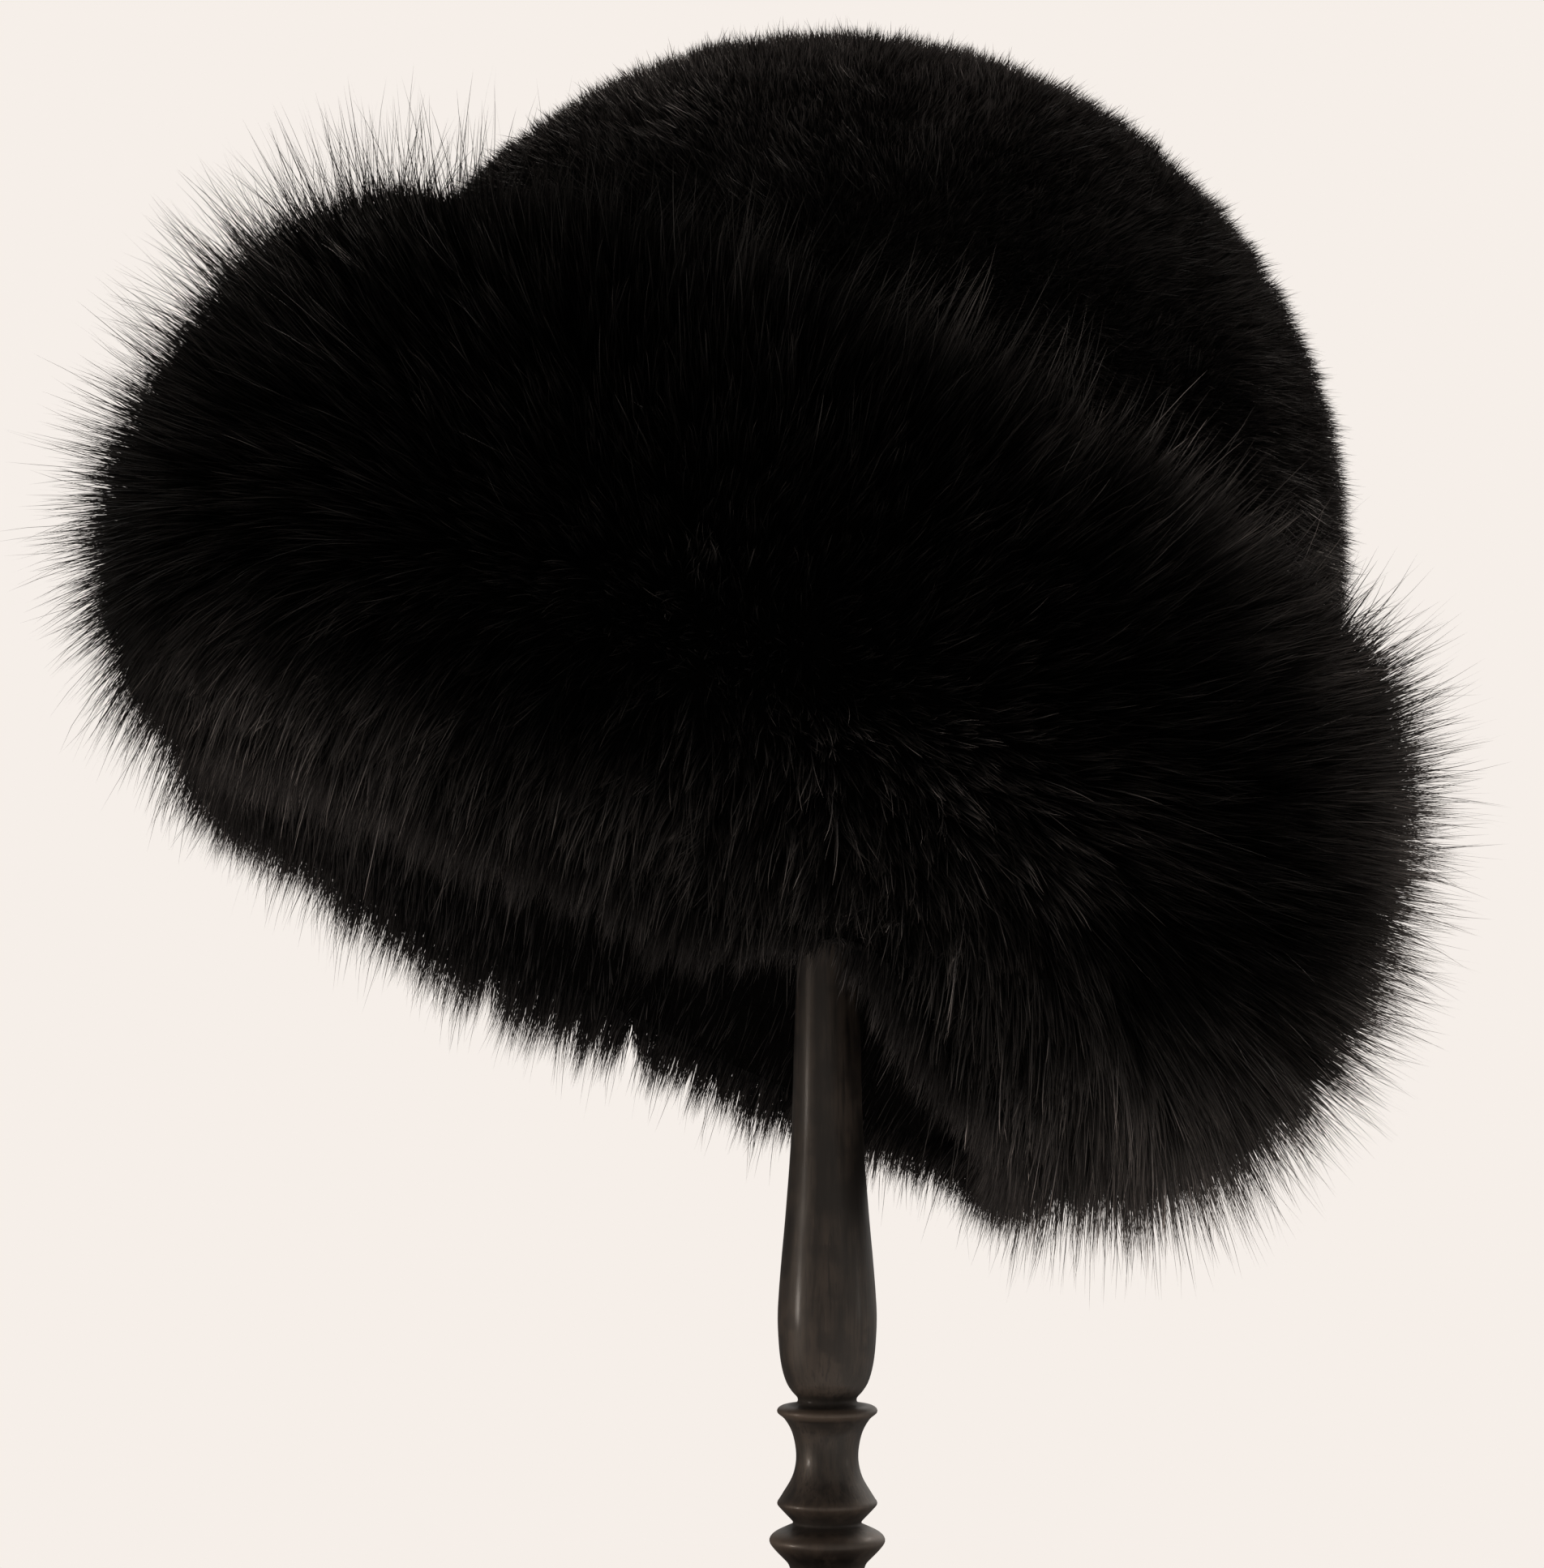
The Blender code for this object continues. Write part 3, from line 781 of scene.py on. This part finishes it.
def growHemHair(name, lining):
    h, layer, count = hem, hem[name], hem[name]["count"]
    chance = np.random.default_rng(layer["seed"])
    turns = chance.uniform(0, 2 * math.pi, count)
    spread = chance.uniform(0, 1, count)
    tuftTurns = turnsOf(h["tufts"]) + chance.normal(0, h["tuftPlace"], h["tufts"])
    tuftLength = chance.uniform(*h["tuftLength"], h["tufts"])
    tuftPull = h["pull"] * chance.uniform(*h["tuftPull"], h["tufts"])
    owner = np.round(turns / (2 * math.pi) * h["tufts"]).astype(int) % h["tufts"]
    if lining:
        heights = h["liningHeight"] * spread**1.5
        roots, gatherAt = wallPoint(turns, heights), wallPoint(tuftTurns[owner], heights)
        lean = -h["inward"] + chance.normal(0, h["loose"][0], count)
        # the lining's painted light
        extra, light = np.zeros(count), np.full(count, h["liningPaintedLight"])
    else:
        roots, gatherAt = edgePoint(turns, spread), edgePoint(tuftTurns[owner], spread)
        lean = -h["inward"] * (1 - spread) + h["outward"] * spread + chance.normal(0, h["loose"][0], count)
        # the hem's hair takes the same painted light and shade
        extra, light = grownAt(np.zeros(count), turns), placesAt(cuff["paintedLightAndShade"], np.zeros(count), turns)
    way = np.array([0, 0, -h["falls"][0]]) + downInHat * h["falls"][1] + radialAt(turns) * lean[:, None]
    way = unit(way + chance.normal(0, h["loose"][1], (count, 3)))
    off = (turns - tuftTurns[owner] + math.pi) % (2 * math.pi) - math.pi
    point = h["point"][0] - h["point"][1] * np.abs(off) * h["tufts"] / math.pi
    length = chance.uniform(*layer["length"], count) * tuftLength[owner] * point
    length = np.maximum(length + extra * chance.uniform(*h["grown"], count), h["shortest"])
    tips = roots + way * length[:, None]
    pull = tuftPull[owner] * chance.uniform(*h["tuftPull"], count)
    tips += (gatherAt + way * length[:, None] - tips) * pull[:, None]
    bends = (roots + tips) / 2 - radialAt(turns) * (h["arch"] * length)[:, None]
    addHair(name, chance, roots, bends, tips, light, layer["width"], 2, "liningHair",
            h["lightSpread"])


def buildCuff():
    buildCuffCore()
    for name, layer in cuff["layers"].items():
        growCuffHair(name, layer)
    growHemHair("hemHair", False)
    growHemHair("liningHair", True)


# the crown: a short dense pile over a hide shell that is open at the rim

crown = {
    "skinDepth": 0.0048,  # hide below the solid's surface
    "turns": 144,
    "wallRings": 14,
    "domeRings": 26,
    "pileCount": 150000,
    "pileOut": (-0.0012, 0.0019),
    "backPile": 0.0015,  # longer towards the back
    "paintedTopLight": (3.2, 0.55, 1.0),  # painted light: how much lighter the uppermost pile is painted, where light from above falls on it, from and to which steepness
    "strayShare": 0.14,  # share of fibres that stand higher
    "strayOut": 0.0026,
    "lean": 0.30,  # down the dome
    "sway": (0.16, 0.045),  # lean in patches, and their size
    "ruffle": (0.12, 0.010),
    "lift": (0.0004, 0.007),  # extra length in patches, and their size
    "arch": 0.10,
    "loose": 0.20,  # each fibre's own lean
    "pileWidth": (0.00034, 0.00056),
    "lowest": 0.06,  # height share of the dome where the pile starts, under the cuff
    "seed": 40,
}


def buildCrownShell():
    c, f = crown, hatFrame
    turns = turnsOf(c["turns"])
    points, faces, bases, around = [], [], [], len(turns)
    for number, inset in enumerate((c["skinDepth"], f["crownWall"])):
        dome = f["crownHeight"] - inset - f["widestHeight"]
        heights = list(np.linspace(0, f["widestHeight"], c["wallRings"], endpoint=False))
        heights += [f["widestHeight"] + dome * math.sin(math.pi / 2 * k / c["domeRings"])
                    for k in range(c["domeRings"])]
        base = sum(len(block) for block in points)
        bases.append(base)
        for height in heights:
            halves = crownHalves(height, inset)
            points.append(ovalPoints(*halves, turns, height))
        points.append(np.array([[0, 0, f["crownHeight"] - inset]]))
        last = base + (len(heights) - 1) * around
        sides = ringFaces(len(heights), around, base)
        sides += [(last + k, last + (k + 1) % around, last + around) for k in range(around)]
        faces += sides if number == 0 else [side[::-1] for side in sides]
    for k in range(around):
        n = (k + 1) % around
        faces.append((bases[0] + n, bases[0] + k, bases[1] + k, bases[1] + n))
    mesh = meshFromFaces("crownHide", toRow(np.concatenate(points)), faces, 60)
    addPiece("crownHide", mesh, finishes["crownSkin"], ("crown",))


def growCrownPile(name, count, seed):
    c, f = crown, hatFrame
    chance = np.random.default_rng(seed)
    rise = chance.uniform(c["lowest"], 1, count)
    turns = chance.uniform(0, 2 * math.pi, count)
    flat = np.sqrt(1 - rise**2)
    ball = np.stack([flat * np.cos(turns), flat * np.sin(turns), rise], axis=1)
    halves = np.array([f["crownLength"] / 2, f["crownWidth"] / 2, f["crownHeight"] - f["widestHeight"]])
    surface = np.array([0, 0, f["widestHeight"]]) + ball * halves
    out = unit(ball / halves)
    roots = surface - out * c["skinDepth"]
    fall = downInHat - out * (out @ downInHat)[:, None]
    steep = np.linalg.norm(fall, axis=1)
    fall = unit(fall + 1e-6)  # down the dome
    cross = np.cross(out, fall)
    (sway, swaySize), (ruffle, ruffleSize), (lift, liftSize) = c["sway"], c["ruffle"], c["lift"]
    swayNoise, ruffleNoise = SoftNoise(c["seed"] + 1, swaySize), SoftNoise(c["seed"] + 2, ruffleSize)
    liftNoise = SoftNoise(c["seed"] + 3, liftSize)
    stray = chance.uniform(0, 1, count) < c["strayShare"]
    reach = chance.uniform(*c["pileOut"], count)
    reach = reach + np.where(stray, chance.uniform(0, c["strayOut"], count), 0)
    length = reach + c["skinDepth"] + lift * liftNoise.at(surface) + c["backPile"] * out[:, 0]
    down = c["lean"] * steep + sway * swayNoise.at(surface) + ruffle * ruffleNoise.at(surface)
    drift = sway * swayNoise.at(surface[:, ::-1]) + ruffle * ruffleNoise.at(surface[:, ::-1])
    down, drift = (part + chance.normal(0, c["loose"], count) for part in (down, drift))
    tips = roots + out * length[:, None] + fall * (down * length)[:, None]
    tips = tips + cross * (drift * length)[:, None]
    bends = (roots + tips) / 2 + out * (c["arch"] * length)[:, None]
    # painted light: the pile is painted lighter the more it faces up
    lighter, low, high = c["paintedTopLight"]
    light = 1 + lighter * easeIn(-out @ downInHat, low, high)
    addHair(name, chance, roots, bends, tips, light, c["pileWidth"], 1, "crownPile")


def buildCrown():
    buildCrownShell()
    for k, label in enumerate(("A", "B")):
        growCrownPile("crownPile" + label, crown["pileCount"] // 2, crown["seed"] + 10 + k)


# the stand: turned and stained wood

stand = {
    "sides": 72,
    "sharp": 50,  # degrees, where the surface has a crisp edge
    "foot": {  # metres
        "radius": 0.080, "edge": 0.011, "hubRadius": 0.017, "hubHeight": 0.040, "bevel": 0.0015,
        "recess": 0.0030,  # how far the underside is hollowed
        "rest": (0.010, 0.008),  # where the hollow ends, inside the rounded edge
        "step": (0.0012, 0.0008),  # in and up, from the edge to the top's curve
        "mouth": (0.0075, 0.0063, 0.0006),  # of the hole the post stands in: radii, depth
    },
    "fineStep": 0.0005,  # between rings on the turned stretch
    "plainStep": 0.004,  # the same on the plain shaft
    "plainFrom": 0.110,  # height
    "hidden": 0.003,  # how far the post runs into the hub and the head
    "near": 0.003,  # rings this close tell a groove from an edge
    "grooveDepth": 0.0016,  # of a groove that is wholly dark
    "edgeHeight": 0.0012,  # of an edge that is wholly worn
    "soften": 3,  # rings that one crisp edge is rounded over
    "turned": (  # height and radius in mm, hub to the thin end of the vase
        (40.3, 10.4), (42.3, 9.0), (44.9, 8.1), (48.2, 8.1), (51.2, 8.8), (52.4, 9.8), (54.9, 12.2),
        (56.7, 13.3), (58.3, 12.3), (59.8, 9.4), (60.5, 7.8), (61.0, 7.8), (62.8, 9.5), (65.0, 11.5),
        (65.5, 11.4), (67.4, 10.2), (71.5, 7.9), (76.0, 7.1), (81.0, 7.9), (84.4, 9.7), (85.9, 11.5),
        (86.7, 11.4), (87.4, 10.4), (87.9, 7.2), (89.2, 6.7), (90.5, 7.9), (92.9, 9.4), (96.8, 10.5),
        (102.0, 11.1), (109.0, 11.3), (119.3, 10.6), (131.5, 9.5), (149.7, 8.2), (169.5, 7.6),
        (192.3, 6.8),
    ),
    "tenon": (0.55, 0.0003),  # its share of the post's radius, and how far it stands clear of the hub
    "neckRadius": 0.0064,
    "neckRings": 24,
    "noise": {"pores": 1500.0, "clouds": 55.0, "smudges": 125.0},  # scales
    "bump": (0.34, 0.0003),
    "polish": {"Coat_Weight": 0.10, "Coat_Roughness": 0.18, "Specular_Tint": (1.0, 0.90, 0.81, 1)},
    "colours": {"Dark Colour": (0.0045, 0.0033, 0.0028), "Light Colour": (0.038, 0.0274, 0.0212)},
    "postGrain": {"Grain Scale": 320.0, "Squeeze": (1.0, 1.0, 0.05), "Groove Darkening": 0.75,
                  "Ridge Lightening": 0.60, "Stains": 0.75},
    "footGrain": {"Grain Scale": 240.0, "Squeeze": (0.06, 1.0, 1.0), "Groove Darkening": 0.2,
                  "Ridge Lightening": 0.15, "Stains": 0.50},
}


def woodGrainGroup():
    group, given, results = nodeGroup("woodGrain", {
        "Dark Colour": (0.02, 0.015, 0.012),
        "Light Colour": (0.06, 0.045, 0.036),
        "Grain Scale": 260.0,
        "Squeeze": (1.0, 1.0, 0.06),
        "Groove Darkening": 0.6,
        "Ridge Lightening": 0.4,
        "Stains": 0.5,
        "Dirt Colour": (0.006, 0.0045, 0.004),
        "Groove Colour": (0.005, 0.004, 0.0035),
        "Ridge Colour": (0.110, 0.080, 0.060),
    }, ("Colour", "Roughness", "Height"))
    place, scales = objectPlace(group), stand["noise"]
    squeezed = vectorNode(group, "MULTIPLY", place, given["Squeeze"])
    grain = noiseNode(group, squeezed, given["Grain Scale"], 6.0, 0.65)
    pores = noiseNode(group, squeezed, scales["pores"], 2.0, 0.5)
    clouds = noiseNode(group, place, scales["clouds"], 3.0)
    tone = plus(group, times(group, grain, 0.55),
                    times(group, clouds, 0.45))
    tone = mapRange(group, tone, 0.43, 0.57, 0, 1)
    colour = mixColour(group, tone, given["Dark Colour"], given["Light Colour"])
    smudges = noiseNode(group, place, scales["smudges"], 2.5)
    smudges = mapRange(group, smudges, 0.50, 0.62, 0, 1)
    smudges = times(group, smudges, given["Stains"])
    colour = mixColour(group, smudges, colour, given["Dirt Colour"])
    poreMask = mapRange(group, pores, 0.36, 0.45, 0.75, 0.0)
    colour = mixColour(group, poreMask, colour, given["Dirt Colour"])
    recess = attributeOutputs(group, "recess")["Fac"]  # 1 in the bottom of a turned groove
    # darker in the bottom of a turned groove
    grooveDark = times(group, recess, given["Groove Darkening"])
    colour = mixColour(group, grooveDark, colour, given["Groove Colour"])
    ridge = attributeOutputs(group, "ridge")["Fac"]  # 1 on a turned edge, where the colour is lighter
    ridgeTint = times(group, ridge, mapRange(group, clouds, 0.35, 0.65, 0.2, 1.0))
    ridgeTint = times(group, ridgeTint, given["Ridge Lightening"])
    colour = mixColour(group, ridgeTint, colour, given["Ridge Colour"])
    group.links.new(colour, results["Colour"])
    polish = plus(group, mapRange(group, clouds, 0.3, 0.7, 0.42, 0.62),
                      times(group, grooveDark, 0.35))
    group.links.new(polish, results["Roughness"])
    height = plus(group, times(group, grain, 0.6),
                      times(group, pores, 0.4))
    group.links.new(height, results["Height"])
    return group


def turnedMesh(name, outline, sides):  # radius and height rows, bottom to top, ends on the axis
    turns = turnsOf(sides)
    inner = outline[1:-1]
    points = [ovalPoints(r, r, turns, z) for r, z in inner]
    points.append(np.array([[0, 0, outline[0][1]], [0, 0, outline[-1][1]]]))
    count = len(inner)
    faces = ringFaces(count, sides)
    for k in range(sides):
        n = (k + 1) % sides
        faces.append((count * sides, n, k))
        faces.append((count * sides + 1, (count - 1) * sides + k, (count - 1) * sides + n))
    mesh = meshFromFaces(name, np.concatenate(points), faces, stand["sharp"])
    radii, heights = np.array(inner).T
    sunk = np.zeros(count)
    for j in range(count):
        near = np.abs(heights - heights[j]) < stand["near"]
        sunk[j] = radii[near].mean() - radii[j]
    for label, depth in (("recess", sunk / stand["grooveDepth"]), ("ridge", -sunk / stand["edgeHeight"])):
        layer = mesh.attributes.new(label, "FLOAT", "POINT")
        layer.data.foreach_set("value", np.append(np.repeat(np.clip(depth, 0, 1), sides), [0, 0]))
    return mesh


def spindleOutline():
    s = stand
    rows = np.array([(radius / 1000, height / 1000) for height, radius in s["turned"]])
    length = np.linalg.norm(np.diff(rows, axis=0), axis=1).sum()
    fine = smoothOutline(rows, int(length / s["fineStep"]))
    blur = np.ones(s["soften"]) / s["soften"]
    inside = s["soften"] // 2
    for k in range(2):
        fine[inside:-inside, k] = np.convolve(fine[:, k], blur, "valid")
    detailed = fine[fine[:, 1] < s["plainFrom"]]
    plain = fine[fine[:, 1] >= s["plainFrom"]]
    plain = plain[::int(s["plainStep"] / s["fineStep"])]
    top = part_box("stand_head")[0].z + s["hidden"]
    thin, start = rows[-1]
    shaft = [(s["neckRadius"] + (thin - s["neckRadius"]) * (1 - t), start + (top - start) * t)
             for t in np.linspace(0.04, 1, s["neckRings"])]
    base = s["foot"]["hubHeight"] - s["hidden"]
    share, clear = s["tenon"]
    tenon = rows[0, 0] * share
    outline = [(0, base), (tenon, base), (tenon, s["foot"]["hubHeight"] + clear)]
    return outline + [tuple(p) for p in detailed] + [tuple(p) for p in plain] + shaft + [(0, top)]


def footOutline():
    f = stand["foot"]
    edge = f["edge"] / 2
    shoulder = f["radius"] - edge
    hollow, rest = f["rest"]
    outline = [(0, f["recess"]), (shoulder - hollow, f["recess"]), (shoulder - rest, 0.0)]
    outline += [(shoulder + edge * math.cos(t), edge + edge * math.sin(t))
                for t in np.linspace(-math.pi / 2, math.pi / 2, 18)]
    outline += [(shoulder - f["step"][0], f["edge"] + f["step"][1])]
    drop = f["hubHeight"] - f["bevel"] - f["edge"]
    for t in np.linspace(math.pi / 2, 0, 40)[1:]:
        outline.append((f["hubRadius"] + (shoulder - f["hubRadius"]) * (1 - math.cos(t)),
                        f["hubHeight"] - f["bevel"] - drop * math.sin(t)))
    for t in np.linspace(0, math.pi / 2, 6)[1:]:
        outline.append((f["hubRadius"] - f["bevel"] * (1 - math.cos(t)),
                        f["hubHeight"] - f["bevel"] * (1 - math.sin(t))))
    wide, narrow, depth = f["mouth"]
    bottom = f["hubHeight"] - depth
    return outline + [(wide, f["hubHeight"]), (narrow, bottom), (0, bottom)]


def buildStand():
    s, grain = stand, woodGrainGroup()
    upright, lying = (groupMaterial(name, grain, {**s["colours"], **s[cut]}, s["bump"], **s["polish"])
                      for name, cut in (("stainedPost", "postGrain"), ("stainedFoot", "footGrain")))
    spindle = turnedMesh("turnedPost", spindleOutline(), s["sides"])
    addPiece("turnedPost", spindle, upright, ("stand_spindle",))
    foot = turnedMesh("turnedFoot", footOutline(), 2 * s["sides"])
    addPiece("turnedFoot", foot, lying, ("stand_foot",))
    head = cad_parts["stand_head"]
    head.data.materials.clear()
    head.data.materials.append(upright)


# studio: a pale floor that runs into an even backdrop, with soft light from below, behind and the right

studio = {
    "paper": (0.922, 0.863, 0.815),
    "floorRadius": 0.95,
    "floorSides": 96,
    "glow": (0.11, 0.40, 0.62, 1.0),  # metres from the stand, and how little shadow the floor takes there
    "roomColour": (1.0, 0.95, 0.90),
    "lampColour": (1.0, 0.90, 0.81),
    "room": 0.12,  # light from every side
    "sides": (  # more light: direction, where it starts and is full, least and most
        ((0.05, -0.25, -1.0), (0.45, 0.92, 0.0, 1.15)),
        ((0.30, 0.60, 0.80), (0.45, 0.92, 0.0, 1.00)),
        ((0.20, -0.95, -0.10), (0.20, 0.95, 0.0, 0.28)),
        ((0.95, -0.10, 0.10), (0.20, 0.95, 0.0, 0.36)),
    ),
    "lens": 120.7,
    "camera": (-0.0126, -1.2, 0.2293),
    "lamps": (  # name, place, aimed at, size, watts, beam in degrees
        ("leftBox", (-1.02, -0.30, 0.03), (0, 0, 0.03), (0.22, 0.20), 0.072, 14),
        ("rightBox", (1.0, -0.20, 0.03), (0, 0, 0.03), (0.25, 0.20), 0.006, 14),
        ("rightTop", (0.75, 0.60, 1.15), (0, 0, 0.30), (0.6, 0.6), 5.0, 120),
    ),
}


def buildFloor():
    s, sides = studio, studio["floorSides"]
    turns = turnsOf(sides)
    ring = ovalPoints(s["floorRadius"], s["floorRadius"], turns, 0.0)
    faces = [(sides, k, (k + 1) % sides) for k in range(sides)]
    mesh = meshFromFaces("paperFloor", np.concatenate([ring, [[0, 0, 0]]]), faces)
    material, tree, surface = plainMaterial("paper", Base_Color=(*s["paper"], 1), Roughness=0.9,
                                            Specular_IOR_Level=0.1)
    glow = tree.nodes.new("ShaderNodeEmission")
    glow.inputs["Color"].default_value = (*s["paper"], 1)
    share = mapRange(tree, vectorNode(tree, "LENGTH", objectPlace(tree)), *s["glow"], True)
    blend = mixShaders(tree, share, surface.outputs[0], glow.outputs[0])
    clear = tree.nodes.new("ShaderNodeBsdfTransparent")
    below = tree.nodes.new("ShaderNodeNewGeometry").outputs["Backfacing"]
    oneSided = mixShaders(tree, below, blend, clear.outputs[0])  # clear from below, so the foot shows
    tree.links.new(oneSided, tree.nodes["Material Output"].inputs["Surface"])
    mesh.materials.append(material)
    floor = addObject("paperFloor", mesh)
    for kind in ("diffuse", "glossy", "transmission", "shadow"):
        setattr(floor, "visible_" + kind, False)  # the room below still lights the fur


def buildRoom():
    s = studio
    world = bpy.data.worlds.new("paleRoom")
    world.use_nodes = True
    tree = world.node_tree
    looking = tree.nodes.new("ShaderNodeTexCoord").outputs["Generated"]
    strength = s["room"]
    for direction, steps in s["sides"]:
        side = vectorNode(tree, "DOT_PRODUCT", looking, Vector(direction).normalized())
        strength = plus(tree, mapRange(tree, side, *steps, True), strength)
    seen = tree.nodes.new("ShaderNodeLightPath").outputs["Is Camera Ray"]
    strength = mathNode(tree, "MAXIMUM", strength, seen)
    strength = mathNode(tree, "MINIMUM", strength, mapRange(tree, seen, 0, 1, 9, 1))  # 1 to the camera
    background = tree.nodes["Background"]
    tree.links.new(mixColour(tree, seen, s["roomColour"], s["paper"]), background.inputs["Color"])
    tree.links.new(strength, background.inputs["Strength"])
    bpy.context.scene.world = world


def addLamp(name, place, target, size, energy, beam):
    light = bpy.data.lights.new(name, "AREA")
    light.shape = "RECTANGLE"
    light.size, light.size_y = size
    light.energy = energy
    light.spread = math.radians(beam)
    light.color = studio["lampColour"]
    lamp = addObject(name, light)
    lamp.location = place
    lamp.rotation_euler = (Vector(target) - Vector(place)).to_track_quat("-Z", "Y").to_euler()
    lamp.visible_camera = False


def buildStudio():
    s, scene = studio, bpy.context.scene
    buildFloor()
    buildRoom()
    for lamp in s["lamps"]:
        addLamp(*lamp)
    camera = bpy.data.cameras.new("camera")
    camera.lens = s["lens"]
    camera.sensor_width = 36
    camera.clip_start = 0.02
    eye = addObject("camera", camera)
    eye.location = s["camera"]
    eye.rotation_euler = (math.radians(90), 0, 0)
    scene.camera = eye
    scene.view_settings.view_transform = "Standard"
    scene.view_settings.look = "None"


buildStudio()
print("fur hat: studio set")
buildStand()
buildCrown()
buildCuff()
print("fur hat: all pieces made")
